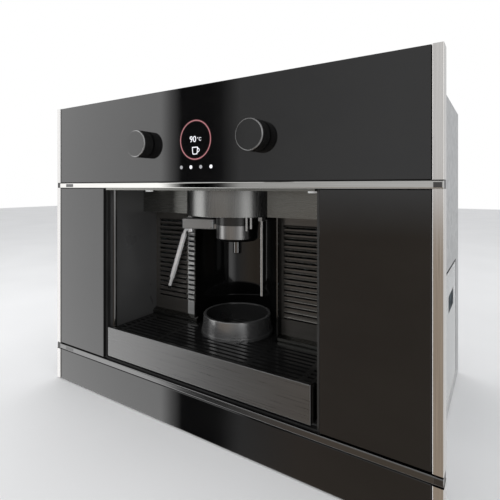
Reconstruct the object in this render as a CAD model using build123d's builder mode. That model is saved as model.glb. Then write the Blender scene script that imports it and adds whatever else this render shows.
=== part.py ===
"""Compact built in coffee machine, 45 cm class, for a 560 mm wide cabinet niche.

Millimetres. X runs to the right, Y to the back, Z up. The front faces -Y.
The origin is the centre of the footprint, at the height of the feet.
"""
from build123d import *
import os

os.makedirs("parts", exist_ok=True)

# ---------------------------------------------------------------- front plane
width = 595.0               # over the side strips
height = 455.0              # feet to the top of the front
body_depth = 386.0          # front glass to rear cover
knob_reach = 18.0           # how far a knob stands out of the glass
foot_gap = 1.5              # front bottom edge above the shelf
strip_width = 10.0          # steel strip at either side
glass = 4.0                 # thickness of the glass panels
carrier = 6.0               # thickness of the frame behind the glass
seam = 0.6                  # shadow gap between front panels
sheet = 1.5                 # casing sheet metal
screw_head = 1.5            # casing screw heads stand out of the rear cover

y_face = (knob_reach - body_depth) / 2
y_carrier = y_face + glass
y_body = y_carrier + carrier
y_rear = y_face + body_depth
y_cover = y_rear - screw_head
x_side = width / 2
x_front = x_side - strip_width

# ---------------------------------------------------------------- front levels
bottom_trim = 50.5          # top of the lower fascia
bar_height = 7.6            # both horizontal bars
bar_proud = 1.5             # bars stand out of the glass
lower_bar_gap = 1.7         # dark gap above and below the lower bar
opening_height = 260.5      # height of the middle panels and of the niche mouth
upper_bar_gap = 0.9         # dark gap above the upper bar

z_lower_bar = bottom_trim + lower_bar_gap
z_open = z_lower_bar + bar_height + lower_bar_gap
z_bar = z_open + opening_height
z_control = z_bar + bar_height + upper_bar_gap

# ---------------------------------------------------------------- niche
opening_width = 354.0       # between the two glass side panels
niche_width = 344.0         # between the niche walls
niche_depth = 106.0         # glass face to the louvred back
wall = 2.0                  # niche sheet
valance_drop = 37.0         # steel skirt below the niche top
valance_back = 76.0         # skirt behind the glass face
lip = 3.0                   # niche top plate, its edge shows under the bar

half = niche_width / 2
z_top = z_bar - lip
z_skirt = z_top - valance_drop
z_floor = z_open + wall
y_back = y_face + niche_depth
y_skirt = y_face + valance_back

# ---------------------------------------------------------------- brewing axis
axis_back = niche_depth     # brewing axis behind the glass face, in the plane of the louvred back
housing_r = 76.0            # round housing in the skirt
recess_r = 74.0             # concave column behind the filter holder
fin_depth = 11.0            # upright fins at the column's edges, in front of the back
group_r = 33.0              # group head ring
group_drop = 15.0           # ring below the housing
group_rise = 30.0           # group head above the niche
group_clear = 0.5           # hole around the group head
ring_gap = 0.5              # ring to the filter holder
bowl_r = 32.4               # filter holder below the ring
bowl_height = 23.5
bowl_chamfer = 4.0          # tapered foot of the bowl
bowl_wall = 3.0
rim_r = 26.0                # rim of the filter holder inside the ring
rim_height = 10.3
seat_depth = 12.0           # bore of the ring
fit = 0.1                   # running fit, radial
lug_reach = 3.0             # bayonet lugs beyond the rim
lug_height = 3.0
lug_width = 8.0
handle_angle = 15.0         # handle at rest, forward of the niche's back
handle_root = 2.0           # handle clear of the ring that it passes
handle_length = 56.0
handle_width = 16.0
handle_height = 16.5
handle_drop = 8.5           # handle's lower side below the bowl's upper edge
neck_length = 6.0           # neck of the bowl inside the handle
neck_width = 11.0
neck_height = 7.0
spout_r = 6.5
spout_length = 20.5

y_axis = y_face + axis_back
z_group = z_skirt - group_drop
z_collar = z_group - ring_gap
z_bowl = z_collar - bowl_height

# ---------------------------------------------------------------- steam wand
wand_x = -86.0              # pivot, left of the brewing axis
wand_from_back = 8.0
wand_r = 2.8
wand_stem_r = 5.0
wand_stem = 31.0            # stem's lower end below the skirt
wand_bend = 6.0
elbow_out = 10.8            # the tube rises a little to its elbow, then slopes down to the left
elbow_rise = 3.4
foot_out = 46.0
foot_drop = 93.0
ball_r = 4.0
socket_r = 6.2
socket_height = 6.0
sleeve_outer = 4.2          # bright sleeve that is held to turn the wand
sleeve_skip = 8.0           # bare tube above the sleeve
sleeve_length = 80.0
tip_r = 3.4
tip_length = 6.0

y_wand = y_back - wand_from_back

# ---------------------------------------------------------------- drip tray
tray_gap = 4.5              # tray to niche walls
tray_front = 6.0            # thickness of the steel front
tray_base = 4.6             # tray above the mouth's lower edge
tray_height = 43.6          # steel front
tray_wall = 2.0
tray_ledge = 3.0            # the grille rests on this
tray_rear = 10.0            # tray in front of the niche's back
tongue_gap = 2.5            # tongue to the recess
grille_thick = 2.4
grille_drop = 4.0           # grille below the top of the steel front
grille_gap = 0.6
slot_pitch = 9.5
slot_width = 4.2
slot_start = 8.0            # first slot behind the steel front
slot_margin = 4.5           # slots end inside the tray's wall
ribs_x = (75.0, 150.0)      # ribs of the grille along its depth, from the middle
rib_width = 7.0
ring_foot_r = 54.6          # loose cup ring, bead at its foot
ring_foot = 4.0             # height of the bead
ring_low_r = 53.0           # body above the bead
ring_top_r = 51.2
ring_bore_r = 46.5
ring_height = 27.0
ledge_height = 8.0          # ledge at the foot of the niche's back
ledge_lip = 5.0
ledge_depth = 8.0

z_tray = z_open + tray_base
z_grille = z_tray + tray_height - grille_drop
z_seat = z_grille - grille_thick
y_tray = y_face + tray_front
tray_half = half - tray_gap
tray_bulge = recess_r - tongue_gap
y_tray_rear = y_back - tray_rear

# ---------------------------------------------------------------- controls
control_x = 6.0             # controls sit a little right of the middle
control_up = 53.0           # knob axis above the control glass's lower edge
knob_spread = 93.0          # knob axis from the display's middle
knob_r = 19.0
knob_lift = 1.5             # knob clear of the glass, so that it can be pressed
knob_chamfer = 1.6
flute_count = 36
flute_r = 1.0
flute_end = 4.0             # flutes stop short of the knob's face
stem_r = 4.5
stem_grip = 11.0            # stem inside the knob
stem_length = 14.0          # stem behind the glass
encoder_size = 28.0
encoder_depth = 22.0
encoder_wall = 3.0
display_width = 84.0
display_height = 96.0
display_depth = 11.0
display_up = 8.0            # display above the control glass's lower edge
board_width = 300.0
board_height = 94.0
board_back = 34.0
board_thick = 2.0
post_r = 3.0
post_inset = 5.0

z_knob = z_control + control_up
knob_places = (control_x - knob_spread, control_x + knob_spread)

# ---------------------------------------------------------------- casing
overhang = 19.5             # front stands out beside the casing
top_gap = 5.0               # casing below the top of the front
pan_height = 20.0
foot_height = 4.0
foot_r = 14.0
foot_inset = 28.0
foot_front = 30.0
foot_rear = 40.0

body_half = x_side - overhang
body_top = height - top_gap
z_pan = foot_height + sheet


def slab(x0, x1, y0, y1, z0, z1, mode=Mode.ADD):
    """A rectangular plate between its six faces."""
    with BuildSketch(Plane.XY.offset(z0)) as outline:
        with Locations(((x0 + x1) / 2, (y0 + y1) / 2)):
            Rectangle(x1 - x0, y1 - y0)
    extrude(outline.sketch, amount=z1 - z0, mode=mode)


def rod(x, y, z, r, length, axis=(0, 0, 1), mode=Mode.ADD):
    """A round bar that starts at a point and runs along an axis."""
    with BuildSketch(Plane((x, y, z), z_dir=axis)) as outline:
        Circle(r)
    extrude(outline.sketch, amount=length, mode=mode)


def finish(piece, name):
    """Label a piece and write it."""
    piece.part.label = name
    export_step(piece.part, f"parts/{name}.step")


# ================================================================ front frame
front_z0 = foot_gap
front_z1 = height
glass_bevel = 0.6
frame_gap = 1.0             # frame to the niche box
stem_clear = 1.0            # glass to the knobs' stems

with BuildPart() as front_carrier:
    slab(-x_front, x_front, y_carrier, y_body, front_z0, front_z1)
    slab(-half - frame_gap, half + frame_gap, y_carrier, y_body, z_open, z_bar, Mode.SUBTRACT)
    for x in knob_places:
        rod(x, y_carrier, z_knob, stem_r + stem_clear, carrier, (0, 1, 0), Mode.SUBTRACT)
    slab(control_x - display_width / 2, control_x + display_width / 2, y_carrier, y_body,
         z_control + display_up, z_control + display_up + display_height, Mode.SUBTRACT)
finish(front_carrier, "front_carrier")

with BuildPart() as control_glass:
    slab(-x_front + seam, x_front - seam, y_face, y_carrier, z_control, front_z1)
    for x in knob_places:
        rod(x, y_face, z_knob, stem_r + stem_clear, glass, (0, 1, 0), Mode.SUBTRACT)
    chamfer(control_glass.faces().sort_by(Axis.Y)[0].outer_wire().edges(), glass_bevel)
finish(control_glass, "control_glass")

for side, sign in (("left", -1), ("right", 1)):
    inner = opening_width / 2
    outer = x_front - seam
    with BuildPart() as side_glass:
        slab(min(sign * inner, sign * outer), max(sign * inner, sign * outer), y_face, y_carrier,
             z_open, z_bar - seam)
        chamfer(side_glass.faces().sort_by(Axis.Y)[0].outer_wire().edges(), glass_bevel)
    finish(side_glass, f"{side}_glass")

with BuildPart() as lower_glass:
    slab(-x_front + seam, x_front - seam, y_face, y_carrier, front_z0, bottom_trim)
    chamfer(lower_glass.faces().sort_by(Axis.Y)[0].outer_wire().edges(), glass_bevel)
finish(lower_glass, "lower_glass")

# The bars run across the right strip; black blocks fill the corners at the left and behind them.
bar_round = 1.2
bar_end = 0.5               # bar ends short of the outer edge
for name, z0 in (("upper_bar", z_bar), ("lower_bar", z_lower_bar)):
    with BuildPart() as bar:
        slab(-x_front, x_side - bar_end, y_face - bar_proud, y_carrier, z0, z0 + bar_height)
        fillet(bar.faces().sort_by(Axis.Y)[0].edges().filter_by(Axis.X), bar_round)
    finish(bar, name)

strip_levels = (
    (front_z0, z_lower_bar - lower_bar_gap),
    (z_open, z_bar),
    (z_control, front_z1),
)
strip_proud = 1.0
strip_back = 8.0            # strips reach this far behind the frame
strip_depth = glass + carrier + strip_back
for side, sign in (("left", -1), ("right", 1)):
    x0 = min(sign * x_front, sign * x_side)
    with BuildPart() as strips:
        for z0, z1 in strip_levels:
            slab(x0, x0 + strip_width, y_face - strip_proud, y_face - strip_proud + strip_depth, z0, z1)
        fillet(strips.faces().group_by(Axis.Y)[0].edges().filter_by(Axis.Z), strip_proud)
    finish(strips, f"{side}_strips")

with BuildPart() as corner_blocks:
    for z0, z1 in ((z_lower_bar - lower_bar_gap, z_open), (z_bar, z_control)):
        slab(-x_side + bar_end, -x_front, y_face, y_body + strip_back - strip_proud, z0, z1)
        slab(x_front, x_side - bar_end, y_carrier, y_body + strip_back - strip_proud, z0, z1)
finish(corner_blocks, "corner_blocks")

# ================================================================ niche
with BuildPart() as niche_top:
    slab(-half, half, y_face + seam, y_skirt + wall, z_top, z_bar)
    rod(0, y_axis, z_top, group_r + group_clear, lip, mode=Mode.SUBTRACT)
finish(niche_top, "niche_top")

for side, sign in (("left", -1), ("right", 1)):
    x0 = min(sign * half, sign * (half + wall))
    with BuildPart() as niche_wall:
        slab(x0, x0 + wall, y_body, y_back + wall, z_open, z_bar)
    finish(niche_wall, f"niche_wall_{side}")

# A bright bead on either wall hides its joint with the frame.
bead_r = 3.0
bead_back = 7.0             # bead behind the frame
y_bead = y_body + bead_back
with BuildPart() as niche_trims:
    with BuildSketch(Plane.XY.offset(z_floor)):
        with Locations((-half, y_bead), (half, y_bead)):
            Circle(bead_r)
        with Locations((-half - bead_r, y_bead), (half + bead_r, y_bead)):
            Rectangle(2 * bead_r, 2 * bead_r, mode=Mode.SUBTRACT)
    extrude(amount=z_top - z_floor)
finish(niche_trims, "niche_trims")


column_r = recess_r + wall


def niche_outline(front):
    """Plan of the niche from its front to the outside of the round column behind it."""
    with BuildSketch() as plan:
        with Locations((0, (front + y_back) / 2)):
            Rectangle(2 * half, y_back - front)
        with Locations((0, y_axis)):
            Circle(column_r)
        with Locations((0, front - column_r)):
            Rectangle(3 * column_r, 2 * column_r, mode=Mode.SUBTRACT)
    return plan.sketch


slide_x = 120.0
slide_width = 8.0
with BuildPart() as niche_floor:
    extrude(niche_outline(y_body).moved(Location((0, 0, z_open))), amount=wall)
    # Two pressed ribs that the tray slides on.
    for x in (-slide_x, slide_x):
        slab(x - slide_width / 2, x + slide_width / 2, y_body + slide_width / 2, y_tray_rear, z_floor, z_tray)
finish(niche_floor, "niche_floor")

z_socket = z_skirt - socket_height
with BuildPart() as niche_ceiling:
    extrude(niche_outline(y_skirt + wall).moved(Location((0, 0, z_skirt))), amount=wall)
    rod(0, y_axis, z_skirt, group_r + group_clear, wall, mode=Mode.SUBTRACT)
    # Socket that holds the steam wand's ball from below.
    rod(wand_x, y_wand, z_socket, socket_r, socket_height)
    rod(wand_x, y_wand, z_socket + wall, ball_r + fit, socket_height - wall, mode=Mode.SUBTRACT)
    rod(wand_x, y_wand, z_socket, wand_r + fit, wall, mode=Mode.SUBTRACT)
finish(niche_ceiling, "niche_ceiling")

# The recess is a half round column on the brewing axis, with an upright fin at either edge.
with BuildPart() as recess_column:
    with BuildSketch(Plane.XY.offset(z_floor)):
        with Locations((0, y_axis)):
            Circle(column_r)
            Circle(recess_r, mode=Mode.SUBTRACT)
        with Locations((0, y_back - column_r)):
            Rectangle(3 * column_r, 2 * column_r, mode=Mode.SUBTRACT)
    extrude(amount=z_skirt - z_floor)
    for x0 in (-column_r, recess_r):
        slab(x0, x0 + wall, y_back - fin_depth, y_back, z_grille + ledge_height, z_skirt)
finish(recess_column, "recess_column")

# Louvred back panels: slits with a pressed hood above each.
louvre_pitch = 8.0
louvre_slit = 3.0
louvre_hood = 2.0
louvre_count = 17
louvre_low = 76.0           # first slit above the mouth's lower edge
louvre_blocks = {           # slit ends, from the middle
    "left": ((80.0, 98.0), (102.0, 162.0)),
    "right": ((80.0, 162.0),),
}
hood_step = 0.4
hood_top = 2.8
hood_root = 0.5
louvre_levels = [z_open + louvre_low + n * louvre_pitch for n in range(louvre_count)]

for side, sign in (("left", -1), ("right", 1)):
    with BuildPart() as back_panel:
        slab(min(sign * column_r, sign * half), max(sign * column_r, sign * half),
             y_back, y_back + wall, z_floor, z_skirt)
        for inner, outer in louvre_blocks[side]:
            x0 = min(sign * inner, sign * outer)
            with BuildSketch(Plane.YZ.offset(x0)) as slit:
                with Locations([(y_back + wall / 2, z) for z in louvre_levels]):
                    Rectangle(wall, louvre_slit)
            extrude(slit.sketch, amount=outer - inner, mode=Mode.SUBTRACT)
            with BuildSketch(Plane.YZ.offset(x0)) as hood:
                with Locations([(y_back, z + louvre_slit / 2) for z in louvre_levels]):
                    Polygon((hood_root, hood_step), (hood_root, hood_top), (0, hood_top),
                            (-louvre_hood, hood_step), align=None)
            extrude(hood.sketch, amount=outer - inner)
    finish(back_panel, f"back_panel_{side}")

with BuildPart() as back_ledges:
    for x0 in (-half, recess_r):
        with BuildSketch(Plane.YZ.offset(x0)) as section:
            with BuildLine():
                Polyline((y_back, z_grille), (y_back - ledge_depth, z_grille),
                         (y_back - ledge_depth, z_grille + ledge_lip), (y_back, z_grille + ledge_height), close=True)
            make_face()
        extrude(section.sketch, amount=half - recess_r)
finish(back_ledges, "back_ledges")

housing_half = (housing_r ** 2 - (y_axis - y_skirt) ** 2) ** 0.5
with BuildPart() as valances:
    for x0 in (-half, housing_half):
        slab(x0, x0 + half - housing_half, y_skirt, y_skirt + wall, z_skirt, z_top)
finish(valances, "valances")

# Round housing that stands out of the skirt in front of the brewing unit.
with BuildPart() as group_housing:
    with BuildSketch(Plane.XY.offset(z_skirt)):
        with Locations((0, y_axis)):
            Circle(housing_r)
        with Locations((0, y_skirt + housing_r)):
            Rectangle(3 * housing_r, 2 * housing_r, mode=Mode.SUBTRACT)
    extrude(amount=z_top - z_skirt)
    slab(-housing_half, housing_half, y_skirt, y_skirt + wall, z_skirt, z_top)
    fillet(group_housing.faces().sort_by(Axis.Z)[0].edges().filter_by(GeomType.CIRCLE), seam)
    rod(0, y_axis, z_skirt, group_r + group_clear, z_top - z_skirt, mode=Mode.SUBTRACT)
finish(group_housing, "group_housing")

lamp_x = 143.0
lamp_back = 62.0
lamp_r = 6.0
lamp_height = 3.0
with BuildPart() as niche_lamps:
    for x in (-lamp_x, lamp_x):
        rod(x, y_face + lamp_back, z_top - lamp_height, lamp_r, lamp_height)
finish(niche_lamps, "niche_lamps")

# ================================================================ brewing group
z_head = z_bar + group_rise
z_groove = z_group + 2.5
gate_width = lug_width + 2
with BuildPart() as group_head:
    rod(0, y_axis, z_group, group_r, z_head - z_group)
    rod(0, y_axis, z_group, rim_r + 3 * fit, seat_depth, mode=Mode.SUBTRACT)
    rod(0, y_axis, z_groove, rim_r + lug_reach + ring_gap, lug_height + 1, mode=Mode.SUBTRACT)
    # Entry gates for the two lugs.
    slab(-gate_width / 2, gate_width / 2, y_axis - rim_r - lug_reach, y_axis + rim_r + lug_reach, z_group,
         z_groove + lug_height, Mode.SUBTRACT)
finish(group_head, "group_head")

gasket_width = 3.0
gasket_height = 2.0
z_gasket = z_group + seat_depth - gasket_height
with BuildPart() as group_gasket:
    with BuildSketch(Plane.XY.offset(z_gasket)):
        with Locations((0, y_axis)):
            Circle(rim_r)
            Circle(rim_r - gasket_width, mode=Mode.SUBTRACT)
    extrude(amount=gasket_height)
finish(group_gasket, "group_gasket")

screen_holes = 8
screen_hole_r = 0.9
with BuildPart() as shower_screen:
    rod(0, y_axis, z_gasket, rim_r - gasket_width - ring_gap, gasket_height)
    with Locations(Location((0, y_axis, z_gasket))):
        with PolarLocations(rim_r / 2, screen_holes):
            Hole(screen_hole_r, depth=2 * gasket_height)
finish(shower_screen, "shower_screen")

# ================================================================ filter holder
# The handle's own plane: its local -X is the way the handle points at rest.
handle_axis = Vector(1, 0, 0).rotate(Axis.Z, handle_angle)


def arm(x0, x1, arm_width, z0, z1, mode=Mode.ADD):
    """A plate across the brewing axis, in the handle's own direction."""
    with BuildSketch(Plane((0, y_axis, z0), x_dir=handle_axis, z_dir=(0, 0, 1))) as outline:
        with Locations(((x0 + x1) / 2, 0)):
            Rectangle(x1 - x0, arm_width)
    extrude(outline.sketch, amount=z1 - z0, mode=mode)


z_rim = z_collar + rim_height
z_cup = z_bowl + bowl_chamfer + bowl_wall
z_handle = z_collar - handle_drop
z_neck = z_collar - neck_height - ring_gap
x_handle = -group_r - handle_root
with BuildPart() as portafilter_bowl:
    with BuildSketch(Plane.XZ.offset(-y_axis)) as section:
        with BuildLine():
            Polyline((0, z_bowl), (bowl_r - bowl_chamfer, z_bowl), (bowl_r, z_bowl + bowl_chamfer), (bowl_r, z_collar),
                     (rim_r - fit, z_collar), (rim_r - fit, z_rim), (0, z_rim), close=True)
        make_face()
    revolve(section.sketch, axis=Axis((0, y_axis, 0), (0, 0, 1)))
    rod(0, y_axis, z_bowl + bowl_wall, rim_r / 2, bowl_chamfer + bowl_wall, mode=Mode.SUBTRACT)
    rod(0, y_axis, z_cup, rim_r - bowl_wall, z_rim - z_cup, mode=Mode.SUBTRACT)
    rod(0, y_axis, z_bowl, spout_r / 2, 2 * bowl_wall, mode=Mode.SUBTRACT)
    # Two bayonet lugs ride in the ring's groove.
    for sign in (-1, 1):
        root = y_axis + sign * (rim_r - bowl_wall / 2)
        end = y_axis + sign * (rim_r + lug_reach - seam)
        slab(-lug_width / 2, lug_width / 2, min(root, end), max(root, end), z_groove + ring_gap,
             z_groove + ring_gap + lug_height - 2 * fit)
    arm(x_handle - neck_length, -bowl_r + bowl_wall, neck_width, z_neck, z_neck + neck_height)
finish(portafilter_bowl, "portafilter_bowl")

basket_wall = 1.0
with BuildPart() as filter_basket:
    rod(0, y_axis, z_cup, rim_r - bowl_wall, z_rim - z_cup)
    rod(0, y_axis, z_cup + basket_wall, rim_r - bowl_wall - basket_wall, z_rim - z_cup, mode=Mode.SUBTRACT)
finish(filter_basket, "filter_basket")

handle_round = 5.0
handle_edge = 2.0
with BuildPart() as portafilter_handle:
    arm(x_handle - handle_length, x_handle, handle_width, z_handle, z_handle + handle_height)
    fillet(portafilter_handle.edges().filter_by(Axis.Z), handle_round)
    fillet(portafilter_handle.faces().sort_by(Axis.Z)[-1].edges(), handle_edge)
    fillet(portafilter_handle.faces().sort_by(Axis.Z)[0].edges(), handle_edge)
    arm(x_handle - neck_length, x_handle, neck_width, z_neck, z_neck + neck_height, Mode.SUBTRACT)
finish(portafilter_handle, "portafilter_handle")

with BuildPart() as coffee_spout:
    rod(0, y_axis, z_bowl - spout_length, spout_r, spout_length)
    fillet(coffee_spout.faces().sort_by(Axis.Z)[0].edges(), spout_r / 4)
    rod(0, y_axis, z_bowl - spout_length, spout_r / 2, spout_length, mode=Mode.SUBTRACT)
finish(coffee_spout, "coffee_spout")

# ================================================================ steam wand
z_stem = z_skirt - wand_stem
elbow = Vector(wand_x - elbow_out, y_wand, z_stem + elbow_rise)
foot = Vector(wand_x - foot_out, y_wand, z_stem - foot_drop)
wand_dir = (foot - elbow).normalized()
with BuildPart() as wand_tube:
    with BuildLine() as wand_path:
        FilletPolyline((wand_x, y_wand, z_skirt), (wand_x, y_wand, z_stem + wand_bend), elbow, foot, radius=wand_bend)
    with BuildSketch(Plane((wand_x, y_wand, z_skirt), z_dir=(0, 0, -1))) as tube_section:
        Circle(wand_r)
    sweep(tube_section.sketch, path=wand_path.line)
    rod(wand_x, y_wand, z_socket + wall, ball_r, socket_height - wall)
    rod(wand_x, y_wand, z_stem, wand_stem_r, z_socket - ring_gap - z_stem)
finish(wand_tube, "wand_tube")

sleeve_start = elbow + wand_dir * sleeve_skip
with BuildPart() as wand_sleeve:
    with BuildSketch(Plane(sleeve_start, z_dir=wand_dir)) as sleeve_section:
        Circle(sleeve_outer)
        Circle(wand_r, mode=Mode.SUBTRACT)
    extrude(sleeve_section.sketch, amount=sleeve_length)
finish(wand_sleeve, "wand_sleeve")

with BuildPart() as wand_tip:
    with BuildSketch(Plane(foot, z_dir=wand_dir)) as tip_section:
        Circle(tip_r)
    extrude(tip_section.sketch, amount=tip_length, taper=12)
finish(wand_tip, "wand_tip")

# Fixed hot water tube at the right of the group, and two short outlet pipes.
water_x = 52.0
water_back = 92.0
water_length = 114.0
water_r = 2.4
water_bore = 1.5
nut_r = 6.0
nut_height = 7.0
outlets = ((31.5, 22.0), (39.0, 18.5))  # place across and length of either short pipe
outlet_back = 84.0
outlet_r = 2.0
outlet_bore = 1.2
with BuildPart() as water_pipes:
    rod(water_x, y_face + water_back, z_skirt - water_length, water_r, water_length)
    with BuildSketch(Plane((water_x, y_face + water_back, z_skirt - nut_height))) as nut:
        RegularPolygon(nut_r, 6)
    extrude(nut.sketch, amount=nut_height)
    rod(water_x, y_face + water_back, z_skirt - water_length, water_bore, 20, mode=Mode.SUBTRACT)
    for x, length in outlets:
        rod(x, y_face + outlet_back, z_skirt - length, outlet_r, length)
        rod(x, y_face + outlet_back, z_skirt - length, outlet_bore, length / 2, mode=Mode.SUBTRACT)
finish(water_pipes, "water_pipes")

# ================================================================ drip tray


def tray_outline(inset):
    """Plan of the tray: a rectangle with a round tongue that fills the recess."""
    with BuildSketch() as plan:
        with Locations((0, (y_tray + y_tray_rear) / 2)):
            Rectangle(2 * (tray_half - inset), y_tray_rear - y_tray - 2 * inset)
        with Locations((0, y_axis)):
            Circle(tray_bulge - inset)
        with Locations((0, y_tray + inset - tray_bulge)):
            Rectangle(3 * tray_bulge, 2 * tray_bulge, mode=Mode.SUBTRACT)
    return plan.sketch


with BuildPart() as tray_tub:
    extrude(tray_outline(0).moved(Location((0, 0, z_tray))), amount=z_grille - z_tray)
    extrude(tray_outline(tray_wall + tray_ledge).moved(Location((0, 0, z_tray + tray_wall))),
            amount=z_grille - z_tray, mode=Mode.SUBTRACT)
    extrude(tray_outline(tray_wall).moved(Location((0, 0, z_seat))), amount=grille_thick, mode=Mode.SUBTRACT)
finish(tray_tub, "tray_tub")

front_round = 0.8
with BuildPart() as tray_front_plate:
    slab(-tray_half + seam, tray_half - seam, y_face, y_tray, z_tray, z_tray + tray_height)
    fillet(tray_front_plate.faces().sort_by(Axis.Y)[0].edges(), front_round)
finish(tray_front_plate, "tray_front")

# Slots run across; ribs along the depth part them into fields. Behind them the slots follow the tongue.
y_slot = y_tray + slot_start
slot_rows = int((y_tray_rear - slot_start - y_slot) / slot_pitch) + 1
slot_bulge = tray_bulge - tray_wall - slot_margin
tongue_rows = int((y_axis + slot_bulge - slot_width - y_slot) / slot_pitch) + 1
rib_places = (*ribs_x, tray_half - tray_wall - slot_margin + rib_width / 2)
with BuildPart() as drip_grille:
    extrude(tray_outline(tray_wall + grille_gap).moved(Location((0, 0, z_seat))), amount=grille_thick)
    with BuildSketch(Plane.XY.offset(z_seat)) as slots:
        for n in range(tongue_rows):
            y = y_slot + n * slot_pitch
            if n < slot_rows:
                with Locations((0, y)):
                    Rectangle(2 * ribs_x[0] - rib_width, slot_width)
                for inner, outer in zip(rib_places, rib_places[1:]):
                    with Locations((-(inner + outer) / 2, y), ((inner + outer) / 2, y)):
                        Rectangle(outer - inner - rib_width, slot_width)
            else:
                reach = (slot_bulge ** 2 - (abs(y - y_axis) + slot_width / 2) ** 2) ** 0.5
                with Locations((0, y)):
                    Rectangle(2 * reach, slot_width)
    extrude(slots.sketch, amount=grille_thick, mode=Mode.SUBTRACT)
finish(drip_grille, "drip_grille")

ring_round = 1.2
with BuildPart() as cup_ring:
    with BuildSketch(Plane.XZ.offset(-y_axis)) as ring_section:
        with BuildLine():
            Polyline((ring_bore_r, z_grille), (ring_foot_r, z_grille), (ring_foot_r, z_grille + ring_foot),
                     (ring_low_r, z_grille + ring_foot), (ring_top_r, z_grille + ring_height),
                     (ring_bore_r, z_grille + ring_height), close=True)
        make_face()
        fillet(ring_section.vertices().group_by(Axis.Y)[-1], ring_round)
    revolve(ring_section.sketch, axis=Axis((0, y_axis, 0), (0, 0, 1)))
finish(cup_ring, "cup_ring")

# ================================================================ controls
y_knob = y_face - knob_lift
knob_depth = knob_reach - knob_lift
for side, x in zip(("left", "right"), knob_places):
    # The knob turns on a stem that goes through the glass and moves in with it.
    with BuildPart() as knob:
        rod(x, y_knob, z_knob, knob_r, knob_depth, (0, -1, 0))
        chamfer(knob.faces().sort_by(Axis.Y)[0].edges(), knob_chamfer)
        for n in range(flute_count):
            spot = Vector(knob_r + flute_r / 2, 0, 0).rotate(Axis.Z, n * 360 / flute_count)
            rod(x + spot.X, y_knob, z_knob + spot.Y, flute_r, knob_depth - flute_end, (0, -1, 0), Mode.SUBTRACT)
        rod(x, y_knob, z_knob, stem_r + fit, stem_grip, (0, -1, 0), Mode.SUBTRACT)
    finish(knob, f"{side}_knob")

    with BuildPart() as stem:
        rod(x, y_knob - stem_grip + fit, z_knob, stem_r, stem_grip - fit + knob_lift + glass + stem_length, (0, 1, 0))
    finish(stem, f"{side}_press_stem")

with BuildPart() as encoders:
    for x in knob_places:
        slab(x - encoder_size / 2, x + encoder_size / 2, y_body, y_body + encoder_depth,
             z_knob - encoder_size / 2, z_knob + encoder_size / 2)
        rod(x, y_body, z_knob, stem_r + stem_clear, encoder_depth - encoder_wall, (0, 1, 0), Mode.SUBTRACT)
finish(encoders, "encoders")

with BuildPart() as display_module:
    slab(control_x - display_width / 2, control_x + display_width / 2, y_carrier, y_carrier + display_depth,
         z_control + display_up, z_control + display_up + display_height)
finish(display_module, "display_module")

z_board = z_control + post_inset
with BuildPart() as control_board:
    slab(-board_width / 2, board_width / 2, y_body + board_back, y_body + board_back + board_thick,
         z_board, z_board + board_height)
    for x in (-board_width / 2 + post_inset, board_width / 2 - post_inset):
        for z in (z_board + post_inset, z_board + board_height - post_inset):
            rod(x, y_body, z, post_r, board_back, (0, 1, 0))
finish(control_board, "control_board")

# ================================================================ casing
tank_back = 43.0            # tank in front of the rear cover
tank_length = 150.0
tank_height = 180.0
tank_width = 84.0
tank_gap = 2.0
tank_wall = 3.0
tank_round = 6.0
pull_depth = 16.0
pull_width = 64.0
pull_height = 24.0
pull_up = 123.0
shelf_rise = 14.0           # shelf under the tank
shelf_rim = 8.0
screw_r = 1.6
screw_inset = 14.0
screw_low = 12.0
screw_high = 10.0
screw_head_r = 3.2
screw_length = 8.0
fixing_r = 2.5              # screws through the pan into the cabinet shelf
fixing_x = 480.0
fixing_y = 280.0
top_flange = 20.0
vent_width = 6.0
top_vents = 16
top_vent_pitch = 24.0
top_vent_length = 50.0
top_vent_front = 60.0       # vents in front of the rear cover

z_shelf = z_pan + shelf_rise
x_tank = body_half - tank_width
y_inner = y_cover - sheet   # inside of the rear cover
y_tank_end = y_inner - tank_back
y_tank = y_tank_end - tank_length
screw_places = (-body_half + screw_inset, 0, body_half - screw_inset)
z_screws = (foot_height + screw_low, body_top - screw_high)

with BuildPart() as base_pan:
    slab(-body_half + sheet, body_half - sheet, y_body, y_inner, foot_height, foot_height + pan_height)
    slab(-body_half + 2 * sheet, body_half - 2 * sheet, y_body + sheet, y_inner - sheet,
         z_pan, foot_height + pan_height, Mode.SUBTRACT)
    # Raised shelf for the water tank; the flange is cut down beside it.
    slab(x_tank - shelf_rim, body_half - sheet, y_tank - shelf_rim, y_tank_end + shelf_rim, z_pan, z_shelf)
    slab(body_half - 3 * sheet, body_half - sheet, y_tank - tank_gap, y_tank_end + tank_gap,
         z_shelf, foot_height + pan_height, Mode.SUBTRACT)
    for x in screw_places:
        rod(x, y_inner - sheet, z_screws[0], screw_r, sheet, (0, 1, 0), Mode.SUBTRACT)
    for x in (-fixing_x / 2, fixing_x / 2):
        for y in (-fixing_y / 2, fixing_y / 2):
            rod(x, y, foot_height, fixing_r, z_shelf, mode=Mode.SUBTRACT)
finish(base_pan, "base_pan")

for side, sign in (("left", -1), ("right", 1)):
    x0 = min(sign * body_half, sign * (body_half - sheet))
    with BuildPart() as side_panel:
        slab(x0, x0 + sheet, y_body, y_inner, foot_height, body_top - sheet)
        if sign > 0:
            slab(x0, x0 + sheet, y_tank - tank_gap, y_tank_end + tank_gap, z_shelf,
                 z_shelf + tank_height + 3 * tank_gap, Mode.SUBTRACT)
    finish(side_panel, f"side_panel_{side}")

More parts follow.
